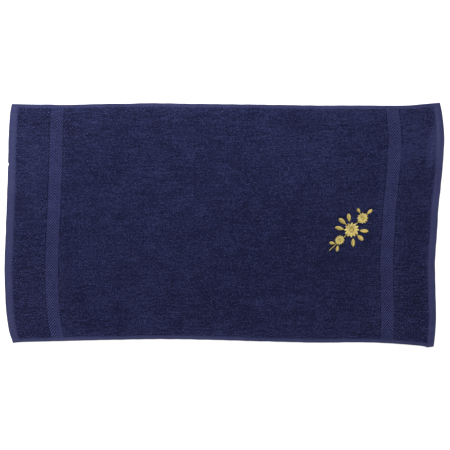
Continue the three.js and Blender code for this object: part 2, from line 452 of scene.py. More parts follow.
class Tree:
    """A node tree to which nodes are added by type."""

    def __init__(self, nodes):
        self.nodes = nodes

    def make(self, kind, settings=None, sockets=None):
        node = self.nodes.nodes.new(kind)
        for name, value in (settings or {}).items():
            if name == "stops":
                self.set_stops(node.color_ramp, value)
            else:
                setattr(node, name, value)
        for key, value in (sockets or {}).items():
            value = getattr(value, "socket", value)
            if isinstance(value, bpy.types.NodeSocket):
                self.nodes.links.new(value, node.inputs[key])
            else:
                node.inputs[key].default_value = value
        return node

    def wire(self, kind, settings=None, sockets=None, output=0):
        return Wire(self, self.make(kind, settings, sockets).outputs[output])

    @staticmethod
    def set_stops(ramp, stops):
        while len(ramp.elements) < len(stops):
            ramp.elements.new(1)
        for element, (position, colour) in zip(ramp.elements, stops):
            element.position = position
            element.color = colour


def smooth_step(tree, value, low, high):
    """0 below low, 1 above high and a smooth way between, for a wire."""
    sockets = {"Value": value, "From Min": low, "From Max": high}
    return tree.wire("ShaderNodeMapRange", {"interpolation_type": "SMOOTHSTEP"}, sockets)


print("node helpers are ready")

# %% [markdown]
# The colours are those of navy cotton. Loops look darkest, because light is lost between them,
# and the same yarn looks paler where it is woven flat. A dyed towel is never one even colour:
# brushed patches a hand wide are a little lighter, faint streaks and short dashes run along the
# warp, and every loop differs slightly from its neighbour. All of that is built from noise on
# Object coordinates, which are metres here, and from a shade that each yarn carries as an
# attribute. A light of 0 gives a finish its deeper colour and a light of 1 its paler one.

# %% Shared parts of the materials
NAVY_DEEP = (0.0032, 0.0039, 0.0165, 1)
NAVY_PALE = (0.0180, 0.0210, 0.0640, 1)
NAVY_PAINTED_SHADE = (0.0021, 0.0025, 0.0110, 1)
# Waves of noise in a metre, for streaks and short dashes along the towel and across it
PATCH_SCALE = 11.0
STREAK_SCALE = (3.0, 60.0, 1.0)
DASH_SCALE = (24.0, 270.0, 1.0)
# How strongly each of them shows
PATCHES = 0.65
STREAKS = 0.45
DASHES = 1.1


def new_material(name, **plain):
    """A Principled material with the plain values on the shader's own sockets."""
    material = bpy.data.materials.new(name)
    material.use_nodes = True
    tree = Tree(material.node_tree)
    shader = material.node_tree.nodes["Principled BSDF"]
    for socket, value in plain.items():
        shader.inputs[socket.replace("_", " ")].default_value = value
    return material, tree, shader


def object_place(tree):
    return tree.make("ShaderNodeTexCoord").outputs["Object"]


def stretched(tree, vector, scale):
    node = tree.make("ShaderNodeMapping", None, {"Vector": vector, "Scale": scale})
    return node.outputs["Vector"]


def noise(tree, vector, scale, detail=2.0, roughness=0.5):
    sockets = {"Vector": vector, "Scale": scale, "Detail": detail, "Roughness": roughness}
    return tree.wire("ShaderNodeTexNoise", None, sockets)


def attribute(tree, name):
    return tree.wire("ShaderNodeAttribute", {"attribute_name": name}, output="Fac")


def uneven(tree, vector, share, scale=1.0, detail=2.0, roughness=0.5):
    """A noise around 0, which moves the light up and down by its share."""
    return (noise(tree, vector, scale, detail, roughness) - 0.5) * share


def carried_shade(tree, share):
    """How much lighter than the others a yarn is, from the shade it carries; in the pile that shade
    also holds painted light.
    """
    return (attribute(tree, "shade") - 0.5) * share


def uneven_dye_and_painted_light(tree, at, share=1.0, dashed=DASHES):
    """The unevenness of the dye, patches, streaks and short dashes, plus the brushing and painted
    light noted on each point.
    """
    patches = uneven(tree, at, PATCHES, PATCH_SCALE, detail=3.0, roughness=0.6)
    streaks = uneven(tree, stretched(tree, at, STREAK_SCALE), STREAKS, roughness=0.6)
    dashes = uneven(tree, stretched(tree, at, DASH_SCALE), dashed, detail=1.0)
    return (patches + streaks + dashes + attribute(tree, "brushed")) * share


def dye(tree, shader, deep, pale, start, light):
    """Colours a material between deep and pale: from start, lighter or darker by light."""
    stops = [(0.0, deep), (1.0, pale)]
    ramp = tree.make("ShaderNodeValToRGB", {"stops": stops}, {"Fac": light + start})
    tree.nodes.links.new(ramp.outputs["Color"], shader.inputs["Base Color"])


def emboss(tree, shader, height, distance, strength=1.0):
    """Bumps a material's surface by height, which is 1 where it rises by the distance."""
    sockets = {"Height": height, "Distance": distance, "Strength": strength}
    node = tree.make("ShaderNodeBump", None, sockets)
    tree.nodes.links.new(node.outputs["Normal"], shader.inputs["Normal"])


print("navy, from", NAVY_DEEP[:3], "to", NAVY_PALE[:3])

# %% [markdown]
# Looped cloth. Cotton has no gloss to speak of, but its fibres catch a little light at the
# edges, which the sheen gives. Noise under a millimetre wide stands for the twist of the yarn.
# The ground between the loops is painted deeper than the loops, painted shade where light hardly
# gets, and its small round knobs, the feet of loops that were too many to make, are painted paler
# on their tops and darker round their feet, painted shade.

# %% Terry
COTTON = {"Roughness": 0.95, "Specular_IOR_Level": 0.05, "Sheen_Weight": 0.03,
          "Sheen_Roughness": 0.5, "Sheen_Tint": (0.45, 0.5, 0.9, 1)}
TWIST_SCALE = 1400.0
KNOT_SCALE = 300.0
KNOB = 2.7 * MM
KNOB_HEIGHT = 1.6 * MM
KNOB_SLOPE = 1.1
GROUND_SHARE = 0.65


def make_loop_material():
    material, tree, shader = new_material("looped yarn", **COTTON)
    at = object_place(tree)
    # Each loop's shade holds its own random tone and painted light from the pile's tree
    light = uneven_dye_and_painted_light(tree, at) + carried_shade(tree, share=0.8)
    dye(tree, shader, NAVY_DEEP, NAVY_PALE, start=0.5, light=light)
    twist = noise(tree, at, TWIST_SCALE, detail=1.0)
    emboss(tree, shader, twist, distance=0.3 * MM, strength=0.6)
    return material


def make_ground_material():
    material, tree, shader = new_material("ground weave", **COTTON)
    at = object_place(tree)
    curls = tree.wire("ShaderNodeTexVoronoi", None, {"Vector": at, "Scale": 1 / KNOB})
    knots = uneven(tree, at, share=0.5, scale=KNOT_SCALE, roughness=0.6)
    # The knobs' height also paints the ground: paler tops and painted shade round their feet
    height = 1 - curls * KNOB_SLOPE + knots
    light = (uneven_dye_and_painted_light(tree, at) + height) * GROUND_SHARE
    dye(tree, shader, NAVY_PAINTED_SHADE, NAVY_PALE, start=-0.2, light=light)
    emboss(tree, shader, height, KNOB_HEIGHT)
    return material


loop_yarn = make_loop_material()
ground_weave = make_ground_material()
print("looped finishes:", loop_yarn.name, ground_weave.name)

# %% [markdown]
# Flat-woven cloth. Hems, borders and selvedges have no loops, so their yarns lie side by side
# and lose less light between them: the same dye looks clearly paler, and its colours here are
# painted paler than the loops', painted light. Painted shade from the pile deepens the hem
# towards its inner edge and is taken off the selvedges again. The near selvedge gets painted
# light where the pile shades it, painted light makes the left hem paler than the right one, and
# faint folds across the hems are painted as light and shade. The weave is drawn in the cloth's
# own UV map, so its yarns run with the towel's bent edges. The borders take two finishes of their
# own: the grooves are painted dark, painted shade, and the raised yarns pale, painted light.

# %% Flat weave and borders
FLAT_NAVY = (0.0076, 0.0086, 0.0307, 1)
FLAT_NAVY_PALE = (0.0246, 0.0262, 0.0632, 1)
RIB_NAVY = (0.0083, 0.0095, 0.0375, 1)
RIB_NAVY_PALE = (0.0335, 0.0372, 0.0995, 1)
PICK = 1.1 * MM
END_YARN = 0.9 * MM
FLAT_DASHES = 0.4
# Where the painted shade from the pile comes onto the hem, counted from its end, where the two
# selvedges end, and where the near selvedge's painted light ends
HEM_SHADE_SPAN = (15 * MM, 27 * MM)
SIDE_ENDS = (7 * MM, 12 * MM)
NEAR_PAINTED_LIGHT_SPAN = (8 * MM, 14 * MM)
# How much these, the weave and a slow change along the towel make it darker or paler: the hem's
# painted shade, the selvedges kept pale, the near selvedge's painted light, the weave, and painted
# light towards the left end
HEM_PAINTED_SHADE = 0.4
SIDE_PALER = 0.26
NEAR_SIDE_PAINTED_LIGHT = 0.2
WEAVE_SHOWS = 0.12
LEFT_END_PAINTED_LIGHT = 0.08
# Faint folds along the hems, painted as light and shade: waves of noise in a metre, and how
# strongly they show
PAINTED_FOLD_SCALE = (450.0, 14.0, 1.0)
PAINTED_FOLDS = 0.25
GROOVE_SCALE = 700.0


def wave(tree, value, long):
    turned = value * (math.tau / long)
    return tree.wire("ShaderNodeMath", {"operation": "SINE"}, {0: turned})


def make_flat_material():
    material, tree, shader = new_material("flat weave", **{**COTTON, "Roughness": 0.85})
    at = object_place(tree)
    uv = tree.make("ShaderNodeUVMap", {"uv_map": "cloth"}).outputs["UV"]
    parts = tree.make("ShaderNodeSeparateXYZ", None, {"Vector": uv}).outputs
    along, across = Wire(tree, parts["X"]), Wire(tree, parts["Y"])
    picks = wave(tree, along, PICK)
    ends = wave(tree, across, END_YARN)
    weave = picks * 0.5 + picks * ends * 0.5
    from_end = along.sum("MINIMUM", along, CLOTH_LENGTH - along)
    from_side = across.sum("MINIMUM", across, CLOTH_WIDTH - across)
    # Painted shade from the pile darkens the hem towards its inner edge, the selvedges are kept
    # pale, and the near selvedge is painted paler where the pile shades it
    inner = smooth_step(tree, from_end, *HEM_SHADE_SPAN)
    side = 1 - smooth_step(tree, from_side, *SIDE_ENDS)
    near_painted_light = 1 - smooth_step(tree, across, *NEAR_PAINTED_LIGHT_SPAN)
    # Folds painted as light and shade, and painted light that makes the left hem paler than the
    # right
    painted_folds = uneven(tree, stretched(tree, uv, PAINTED_FOLD_SCALE), PAINTED_FOLDS, detail=1.0)
    left_painted_light = (0.5 - along / CLOTH_LENGTH) * LEFT_END_PAINTED_LIGHT
    light = uneven_dye_and_painted_light(tree, at, share=0.8, dashed=FLAT_DASHES) + weave * WEAVE_SHOWS
    light = light - inner * HEM_PAINTED_SHADE + inner * side * SIDE_PALER + near_painted_light * NEAR_SIDE_PAINTED_LIGHT
    light = light + (1 - side) * (left_painted_light + painted_folds)
    dye(tree, shader, FLAT_NAVY, FLAT_NAVY_PALE, start=0.45, light=light)
    emboss(tree, shader, weave, distance=0.25 * MM, strength=0.8)
    return material


def make_groove_material():
    material, tree, shader = new_material("border ground", **COTTON)
    at = object_place(tree)
    grain = uneven(tree, at, share=0.6, scale=GROOVE_SCALE)
    light = uneven_dye_and_painted_light(tree, at, share=0.8) + grain
    # The grooves between the floats are painted dark: painted shade
    dye(tree, shader, NAVY_PAINTED_SHADE, RIB_NAVY, start=0.3, light=light)
    return material


def make_float_material():
    material, tree, shader = new_material("border floats", **{**COTTON, "Roughness": 0.75})
    at = object_place(tree)
    light = uneven_dye_and_painted_light(tree, at, share=0.7) + carried_shade(tree, share=0.35)
    # The floats are painted paler than the grooves: painted light on the same yarn
    dye(tree, shader, RIB_NAVY, RIB_NAVY_PALE, start=0.55, light=light)
    twist = noise(tree, at, TWIST_SCALE, detail=1.0)
    emboss(tree, shader, twist, distance=0.15 * MM, strength=0.5)
    return material


flat_weave = make_flat_material()
border_ground = make_groove_material()
border_yarn = make_float_material()
print("woven finishes:", flat_weave.name, border_ground.name, border_yarn.name)

# %% [markdown]
# Sewing and stitching threads are smoother than towel yarn. The hem is sewn in dull navy
# polyester. The motif is stitched in two golds of shinier rayon. Both are bundles of filaments,
# so a very fine noise breaks up their colour and their gloss.

# %% Threads
RAYON = {"Roughness": 0.48, "Specular_IOR_Level": 0.25}
POLYESTER = {"Roughness": 0.65, "Specular_IOR_Level": 0.08}
GOLD_PALE = ((0.270, 0.212, 0.058, 1), (0.400, 0.335, 0.122, 1))
GOLD_DEEP = ((0.210, 0.152, 0.034, 1), (0.330, 0.262, 0.078, 1))
SEWING_NAVY = ((0.015, 0.018, 0.055, 1), (0.030, 0.034, 0.085, 1))
FILAMENT_SCALE = 2600.0


def make_thread_material(name, finish, colours):
    material, tree, shader = new_material(name, **finish)
    at = object_place(tree)
    filaments = noise(tree, at, FILAMENT_SCALE, detail=1.0)
    light = carried_shade(tree, share=0.7) + (filaments - 0.5) * 0.5
    dye(tree, shader, *colours, start=0.5, light=light)
    emboss(tree, shader, filaments, distance=0.08 * MM, strength=0.4)
    return material


gold_pale = make_thread_material("pale gold thread", RAYON, GOLD_PALE)
gold_deep = make_thread_material("deep gold thread", RAYON, GOLD_DEEP)
navy_thread = make_thread_material("navy sewing thread", POLYESTER, SEWING_NAVY)
print("threads:", gold_pale.name, gold_deep.name, navy_thread.name)

# %% [markdown]
# The sheet can now become an object. Its points are laid on the towel, each face gets the finish
# of its weave, and each point a note of how much paler or darker brushing and painted light make
# it, which the finishes read.
# The pieces that follow are laid and noted by the same functions.

# %% Make the sheet
PILE, HEMMED, BORDERED = 0, 1, 2
PAST_HEM = 1.5 * MM


def weave_at(length, width):
    """Which weave the cloth has at each place: its material's number.

    The flat weave goes on a little past the hem, under the first loops.
    """
    from_right = CLOTH_LENGTH - length
    bordered = (length > LEFT_BORDER) & (length < LEFT_BORDER + BORDER)
    bordered |= (from_right > RIGHT_BORDER) & (from_right < RIGHT_BORDER + BORDER)
    hemmed = np.minimum(length, from_right) < HEM + PAST_HEM
    hemmed |= (width < NEAR_SELVEDGE) | (CLOTH_WIDTH - width < FAR_SELVEDGE)
    return np.select([hemmed, bordered], [HEMMED, BORDERED], PILE)


def add_flat_uv(mesh, flat):
    corners = np.empty(len(mesh.loops), np.int32)
    mesh.loops.foreach_get("vertex_index", corners)
    layer = mesh.uv_layers.new(name="cloth")
    layer.uv.foreach_set("vector", flat[corners, :2].astype(np.float32).ravel())


def note_brushing_and_painted_light(mesh, laid):
    """Notes on each point how much paler or darker brushing and painted light make the cloth there.
    """
    paler = mesh.attributes.new("brushed", "FLOAT", "POINT")
    paler.data.foreach_set("value", humps(BRUSHED_AND_PAINTED_LIGHT, laid[:, :2]).astype(np.float32))


def make_sheet():
    mesh = bpy.data.meshes.new("cloth")
    laid = lay(flat_points)
    mesh.from_pydata(laid.tolist(), [], sheet_faces)
    note_brushing_and_painted_light(mesh, laid)
    add_flat_uv(mesh, flat_points)
    for material in (ground_weave, flat_weave, border_ground):
        mesh.materials.append(material)
    middles = np.array([flat_points[list(face)].mean(0) for face in sheet_faces])
    weaves = weave_at(middles[:, 0], middles[:, 1]).astype(np.int32)
    mesh.polygons.foreach_set("material_index", weaves)
    mesh.polygons.foreach_set("use_smooth", np.ones(len(sheet_faces), bool))
    mesh.update()
    sheet = bpy.data.objects.new("cloth", mesh)
    bpy.context.scene.collection.objects.link(sheet)
    return sheet


cloth = make_sheet()
print("cloth faces:", len(cloth.data.polygons))

# %% [markdown]
# Whatever repeats is grown by Geometry Nodes on the flat cloth: x is the distance along the
# towel, y the distance across it and z the height above the surface. A tree's named inputs are
# its sizes. Growing a piece means running its tree once, keeping the result as a plain mesh, and
# laying that mesh on the towel with the same function that laid the sheet.

# %% Grow a piece on the flat cloth
NUMBER = "NodeSocketFloat"
COUNT = "NodeSocketInt"


def geometry_tree(name, sizes):
    """A new geometry tree, and its inputs as wires by name."""
    group = bpy.data.node_groups.new(name, "GeometryNodeTree")
    for label, kind in {**sizes, "Material": "NodeSocketMaterial"}.items():
        group.interface.new_socket(label, in_out="INPUT", socket_type=kind)
    group.interface.new_socket("Geometry", in_out="OUTPUT", socket_type="NodeSocketGeometry")
    tree = Tree(group)
    given = tree.make("NodeGroupInput").outputs
    return tree, {socket.name: Wire(tree, socket) for socket in given if socket.name}


def xyz(tree, x=0.0, y=0.0, z=0.0):
    return tree.make("ShaderNodeCombineXYZ", None, {"X": x, "Y": y, "Z": z}).outputs[0]


def place_parts(tree):
    """The position field as three wires."""
    position = tree.make("GeometryNodeInputPosition").outputs[0]
    parts = tree.make("ShaderNodeSeparateXYZ", None, {0: position}).outputs
    return [Wire(tree, part) for part in parts]


def random_number(tree, low, high, seed):
    settings = {"data_type": "FLOAT"}
    return tree.wire("FunctionNodeRandomValue", settings, {2: low, 3: high, "Seed": seed}, 1)


def finish_tree(tree, geometry, given):
    """Ends a tree: instances realized, smooth, with the material set."""
    real = tree.make("GeometryNodeRealizeInstances", None, {"Geometry": geometry}).outputs[0]
    smooth = tree.make("GeometryNodeSetShadeSmooth", None, {"Geometry": real}).outputs[0]
    sockets = {"Geometry": smooth, "Material": given["Material"]}
    painted = tree.make("GeometryNodeSetMaterial", None, sockets).outputs[0]
    tree.make("NodeGroupOutput", None, {"Geometry": painted})
    return tree.nodes


def points_of(mesh):
    points = np.empty(len(mesh.vertices) * 3, np.float32)
    mesh.vertices.foreach_get("co", points)
    return points.reshape(-1, 3).astype(float)


def triangles_of(mesh):
    return sum(len(face.vertices) - 2 for face in mesh.polygons)


def grow(name, group, values, start=None):
    """Runs a geometry tree once and returns its result as a mesh on the flat cloth."""
    carrier = bpy.data.objects.new(name + " start", start or bpy.data.meshes.new(name + " start"))
    bpy.context.scene.collection.objects.link(carrier)
    modifier = carrier.modifiers.new("grow", "NODES")
    modifier.node_group = group
    for item in group.interface.items_tree:
        if item.in_out == "INPUT" and item.name in values:
            modifier[item.identifier] = values[item.name]
    graph = bpy.context.evaluated_depsgraph_get()
    mesh = bpy.data.meshes.new_from_object(carrier.evaluated_get(graph), depsgraph=graph)
    mesh.name = name
    first_mesh = carrier.data
    bpy.data.objects.remove(carrier)
    bpy.data.meshes.remove(first_mesh)
    return mesh


def laid_piece(mesh):
    """Lays a flat mesh on the towel and makes it a piece."""
    laid = lay(points_of(mesh))
    mesh.vertices.foreach_set("co", laid.astype(np.float32).ravel())
    note_brushing_and_painted_light(mesh, laid)
    mesh.update()
    piece = bpy.data.objects.new(mesh.name, mesh)
    bpy.context.scene.collection.objects.link(piece)
    print(f"{mesh.name}: {triangles_of(mesh)} triangles")
    return piece

# %% [markdown]
# Every small thing carries a shade of its own, a random number that its material turns into a
# slightly lighter or darker yarn, because a cloth whose yarns are all alike looks printed; a
# loop's shade also carries painted light. An arch turns a straight bit of yarn into one that
# rises out of the cloth and dips back into it.

# %% Helpers for yarns
YARN_SIDES = 3
YARN_SIZES = dict.fromkeys(["Yarn length", "Yarn radius", "Arch", "Height"], NUMBER)
SPREAD = 0.08


def yarn(tree, curve, radius):
    """A closed yarn of a few sides along a curve."""
    ring_sockets = {"Resolution": YARN_SIDES, "Radius": radius}
    profile = tree.make("GeometryNodeCurvePrimitiveCircle", None, ring_sockets).outputs[0]
    sockets = {"Curve": curve, "Profile Curve": profile, "Fill Caps": True}
    return tree.make("GeometryNodeCurveToMesh", None, sockets).outputs[0]


def with_shade(tree, geometry, domain, seed, added=0.0, spread=1.0):
    """Stores a random shade from 0 to spread, plus what is added, on each yarn."""
    value = random_number(tree, 0.0, spread, seed) + added
    sockets = {"Geometry": geometry, "Name": "shade", "Value": value}
    node = tree.make("GeometryNodeStoreNamedAttribute", {"domain": domain}, sockets)
    return node.outputs[0]


def arched(tree, curve, height, roundness=1.0):
    """Lifts each point of a curve by a hump that is 0 at both ends and height at the middle."""
    along = tree.wire("GeometryNodeSplineParameter")
    hump_over = (4 * along * (1 - along)) ** roundness
    sockets = {"Geometry": curve, "Offset": xyz(tree, z=hump_over * height)}
    return tree.make("GeometryNodeSetPosition", None, sockets).outputs[0]


def short_yarn(tree, given, points):
    """An arched bit of yarn along Y, a few points long, with its middle at the origin."""
    half = given["Yarn length"] / 2
    ends = {"Start": xyz(tree, y=0 - half), "End": xyz(tree, y=half)}
    line = tree.make("GeometryNodeCurvePrimitiveLine", None, ends).outputs[0]
    sockets = {"Curve": line, "Count": points}
    line = tree.make("GeometryNodeResampleCurve", None, sockets).outputs[0]
    return yarn(tree, arched(tree, line, given["Arch"]), given["Yarn radius"])


def scattered(tree, points, instance, given, rotation=(0.0, 0.0, 0.0), spread=SPREAD, size=1.0):
    """Puts an instance on each point, its size within the spread of the given one."""
    scale = random_number(tree, 1 - spread, 1 + spread, given["Seed"]) * size
    sockets = {"Points": points, "Instance": instance, "Rotation": rotation,
               "Scale": xyz(tree, scale, scale, scale)}
    return tree.make("GeometryNodeInstanceOnPoints", None, sockets).outputs[0]


print("sides of a yarn:", YARN_SIDES)

# %% [markdown]
# Each hem is held down by one row of lockstitch near its inner edge. From above a lockstitch is
# a row of short dashes, each dipping into the cloth at both ends, in a small groove that the
# thread pulls. A mesh line gives the needle holes, and every stitch is the same arched yarn.

# %% The stitches of the hems
STITCH = 3.2 * MM
STITCH_ROW = 20 * MM
STITCH_MARGIN = 4 * MM
STITCH_POINTS = 4
STITCH_YARN = {"Yarn length": 2.9 * MM, "Yarn radius": 0.32 * MM, "Arch": 0.5 * MM,
               "Height": 1.85 * MM}


def lockstitch_tree():
    sizes = {**YARN_SIZES, "From end": NUMBER, "Margin": NUMBER, "Stitch": NUMBER,
             "Stitches": COUNT, "Seed": COUNT}
    tree, given = geometry_tree("lockstitch", sizes)
    start = xyz(tree, given["From end"], given["Margin"], given["Height"])
    sockets = {"Count": given["Stitches"], "Start Location": start,
               "Offset": xyz(tree, y=given["Stitch"])}
    holes = tree.make("GeometryNodeMeshLine", None, sockets).outputs[0]
    placed = scattered(tree, holes, short_yarn(tree, given, STITCH_POINTS), given)
    return finish_tree(tree, with_shade(tree, placed, "INSTANCE", given["Seed"]), given)


lockstitch = lockstitch_tree()
stitch_count = int((CLOTH_WIDTH - 2 * STITCH_MARGIN) / STITCH) + 1


def hem_stitches(name, from_end, seed):
    values = {**STITCH_YARN, "From end": from_end, "Margin": STITCH_MARGIN, "Stitch": STITCH,
              "Stitches": stitch_count, "Material": navy_thread, "Seed": seed}
    return laid_piece(grow(name, lockstitch, values))


stitches = [
    hem_stitches("hem_stitches_left", STITCH_ROW, 1),
    hem_stitches("hem_stitches_right", CLOTH_LENGTH - STITCH_ROW, 2),
]

# %% [markdown]
# A border is woven in herringbone twill. Each rib is a slanting row of short yarns that float
# over the cloth, and the slant turns round in the border's middle, so the ribs point across the
# towel like arrows. They are a little steeper on the right of that line than on the left. The
# tree lays a grid of points, slides each column along by its distance from the line, drops the
# points that would run off at the selvedges and puts a float on each of the others. Ribs in a
# bump map alone would vanish in a low light.

# %% The floats of the borders
RIB_PITCH = 8.6 * MM
LEFT_SLOPE = math.tan(math.radians(47.5))
RIGHT_SLOPE = math.tan(math.radians(51.5))
BORDER_MARGIN = 0.9 * MM
FLOAT_COLUMNS = 29
FLOAT_POINTS = 3
FLOAT_LENGTH = 4.4 * MM
FLOAT_YARN = {"Yarn length": FLOAT_LENGTH, "Yarn radius": 0.75 * MM, "Arch": 1.1 * MM,
              "Height": 2.1 * MM}


def twill_tree():
    sizes = {**YARN_SIZES, "Start": NUMBER, "Width": NUMBER, "Near": NUMBER, "Far": NUMBER,
             "Pitch": NUMBER, "Left slope": NUMBER, "Right slope": NUMBER, "Columns": COUNT,
             "Ribs": COUNT, "Seed": COUNT}
    tree, given = geometry_tree("herringbone twill", sizes)
    half = given["Width"] / 2
    tall = (given["Ribs"] - 1) * given["Pitch"]
    sockets = {"Size X": given["Width"], "Size Y": tall,
               "Vertices X": given["Columns"], "Vertices Y": given["Ribs"]}
    grid = tree.make("GeometryNodeMeshGrid", None, sockets).outputs[0]
    x, y, _ = place_parts(tree)
    back = x.sum("MAXIMUM", x * given["Right slope"], 0 - x * given["Left slope"])
    first_rib = given["Near"] + tall / 2
    arrow = xyz(tree, x + given["Start"] + half, y + first_rib - back, given["Height"])
    sockets = {"Geometry": grid, "Position": arrow}
    slid = tree.make("GeometryNodeSetPosition", None, sockets).outputs[0]
    _, y, _ = place_parts(tree)
    run_off = y.sum("LESS_THAN", y, given["Near"]) + y.sum("GREATER_THAN", y, given["Far"])
    sockets = {"Geometry": slid, "Selection": run_off}
    kept = tree.make("GeometryNodeDeleteGeometry", None, sockets).outputs[0]
    placed = scattered(tree, kept, short_yarn(tree, given, FLOAT_POINTS), given)
    return finish_tree(tree, with_shade(tree, placed, "INSTANCE", given["Seed"]), given)


twill = twill_tree()
near_rib = NEAR_SELVEDGE - FLOAT_LENGTH / 2
far_rib = CLOTH_WIDTH - FAR_SELVEDGE + FLOAT_LENGTH / 2
rib_count = math.ceil((far_rib - near_rib + BORDER / 2 * RIGHT_SLOPE) / RIB_PITCH) + 1


def border_floats(name, border_start, seed):
    values = {**FLOAT_YARN, "Start": border_start + BORDER_MARGIN,
              "Width": BORDER - 2 * BORDER_MARGIN, "Near": near_rib, "Far": far_rib,
              "Pitch": RIB_PITCH, "Left slope": LEFT_SLOPE, "Right slope": RIGHT_SLOPE,
              "Columns": FLOAT_COLUMNS, "Ribs": rib_count, "Material": border_yarn, "Seed": seed}
    return laid_piece(grow(name, twill, values))


floats = [
    border_floats("border_floats_left", LEFT_BORDER, 11),
    border_floats("border_floats_right", CLOTH_LENGTH - RIGHT_BORDER - BORDER, 12),
]

# %% [markdown]
# A motif stands near one end, stitched by machine in two golds: a sprig of three daisies with
# leaves. A shape in satin stitch is filled with threads that lie side by side from one of its
# edges to the other and stand up like a cushion. So each shape is written as the list of its
# threads, each from one edge point to the other, and one tree turns every thread into a yarn.

# %% Plan the motif's threads
MOTIF_MIDDLE = (1034 * MM, 337 * MM)
THREAD_PITCH = 0.62

# Daisies: place along the towel and across it, from the motif's middle, mm, and size
DAISIES = [(-32, -30, 0.82), (2, 0, 1.28), (33, 35, 0.95)]
# A daisy of size 1, mm: its petals run from foot to tip, round its centre
PETALS = 12
PETAL_FOOT = 5.2
PETAL_TIP = 17.5
PETAL_HALF_WIDTH = 3.3
CENTRE_RADIUS = 4.6
# Leaves: foot, tip, and half width, mm
LEAVES = [
    ((-17, 18), (-38, 34), 6.0), ((-22, 2), (-48, 8), 5.4), ((20, -15), (38, -31), 6.0),
    ((26, -2), (52, -4), 5.4), ((-6, 25), (-10, 49), 5.2), ((8, -25), (10, -50), 5.2),
    ((46, 48), (60, 61), 4.6), ((24, 51), (16, 64), 4.2), ((-46, -40), (-62, -38), 4.4),
    ((-36, -46), (-38, -64), 4.4),
]
# Stems: the points that each passes, mm
STEMS = [
    [(-61, -61), (-50, -50), (-30, -28)], [(-30, -28), (-18, -20), (0, 0)],
    [(0, 0), (18, 22), (34, 34)], [(-17, 18), (0, 0)], [(20, -15), (0, 0)], [(34, 34), (46, 48)],
]
# How blunt petals and leaves are, how far a leaf's threads slant, and a stem's threads
BLUNTNESS = 0.8
LEAF_SLANT = 0.7
STEM_PITCH = THREAD_PITCH * 1.5
STEM_REACH = 0.9


def half_widths(shares):
    """How wide a leaf or petal is at these shares of its length, at most 1."""
    return np.sin(np.pi * shares**BLUNTNESS) ** BLUNTNESS


def middle_line(foot, tip, half_width):
    """Points down a shape's middle, its directions ahead and aside, and its reach at each."""
    foot, tip = np.array(foot, float), np.array(tip, float)
    long = np.linalg.norm(tip - foot)
    ahead = (tip - foot) / long
    aside = np.array([-ahead[1], ahead[0]])
    shares = (np.arange(int(long / THREAD_PITCH)) + 0.5) * THREAD_PITCH / long
    middle = foot + ahead * shares[:, None] * long
    return middle, ahead, aside, half_widths(shares)[:, None] * half_width


def petal(foot, tip, half_width):
    """Threads straight across, each a pair of ends on the petal's two edges."""
    middle, _, aside, reach = middle_line(foot, tip, half_width)
    return np.stack([middle - aside * reach, middle + aside * reach], 1)


def veined_leaf(foot, tip, half_width):
    """Two slanting rows of threads that meet at the leaf's vein."""
    vein, ahead, aside, reach = middle_line(foot, tip, half_width)
    slants = [aside * side + LEAF_SLANT * ahead for side in (-1, 1)]
    return np.vstack([np.stack([vein, vein + slant * reach], 1) for slant in slants])


def daisy(x, y, size):
    """Petals round a middle that is left for the centre."""
    petals = []
    for turn in np.arange(PETALS) * math.tau / PETALS:
        ray = np.array([math.cos(turn), math.sin(turn)])
        foot = (x, y) + ray * PETAL_FOOT * size
        tip = (x, y) + ray * PETAL_TIP * size
        petals.append(petal(foot, tip, PETAL_HALF_WIDTH * size))
    return np.vstack(petals)


def centre(x, y, radius):
    """A round patch of straight threads."""
    rows_down = np.arange(-radius + THREAD_PITCH / 2, radius, THREAD_PITCH)
    reach = np.sqrt(radius**2 - rows_down**2)
    ends = [np.stack([x + side * reach, y + rows_down], -1) for side in (-1, 1)]
    return np.stack(ends, 1)


def stem(points):
    """Short threads that cross a line at a slant, like a cord."""
    points = np.array(points, float)
    steps = np.concatenate([[0], np.cumsum(np.linalg.norm(np.diff(points, axis=0), axis=1))])
    at = np.arange(0, steps[-1], STEM_PITCH)
    line = np.stack([np.interp(at, steps, points[:, axis]) for axis in (0, 1)], -1)
    ahead = np.gradient(line, axis=0)
    ahead /= np.linalg.norm(ahead, axis=1)[:, None]
    aside = np.stack([-ahead[:, 1], ahead[:, 0]], -1)
    slanted = (aside + ahead) * STEM_REACH
    return np.stack([line - slanted, line + slanted], 1)


flower_threads = np.vstack([daisy(*each) for each in DAISIES])
centres = [centre(x, y, CENTRE_RADIUS * size) for x, y, size in DAISIES]
leaf_threads = np.vstack([*map(stem, STEMS), *(veined_leaf(*each) for each in LEAVES), *centres])
print("threads:", len(flower_threads), "pale,", len(leaf_threads), "deep")

# %% [markdown]
# The threads become a mesh of loose edges, one for each thread. The tree makes each edge a curve,
# bends it over the padding and gives it thickness. The loops beneath such stitching are pressed
# flat and hidden, so the flat plan of the motif is kept, to leave the loops out there.

# %% Stitch the motif
SATIN_THREAD = {"Thread radius": 0.42 * MM, "Height": 2.5 * MM, "Points": 6}
SATIN_ROUNDNESS = 0.5
PETAL_PADDING = 1.7 * MM
LEAF_PADDING = 1.5 * MM


def thread_plan(name, threads):
    """A mesh on the flat cloth with one loose edge for each thread."""
    ends = threads.reshape(-1, 2) * MM + MOTIF_MIDDLE
    points = np.column_stack([ends, np.zeros(len(ends))])
    edges = np.arange(len(ends)).reshape(-1, 2)
    plan = bpy.data.meshes.new(name)
    plan.from_pydata(points.tolist(), edges.tolist(), [])
    return plan


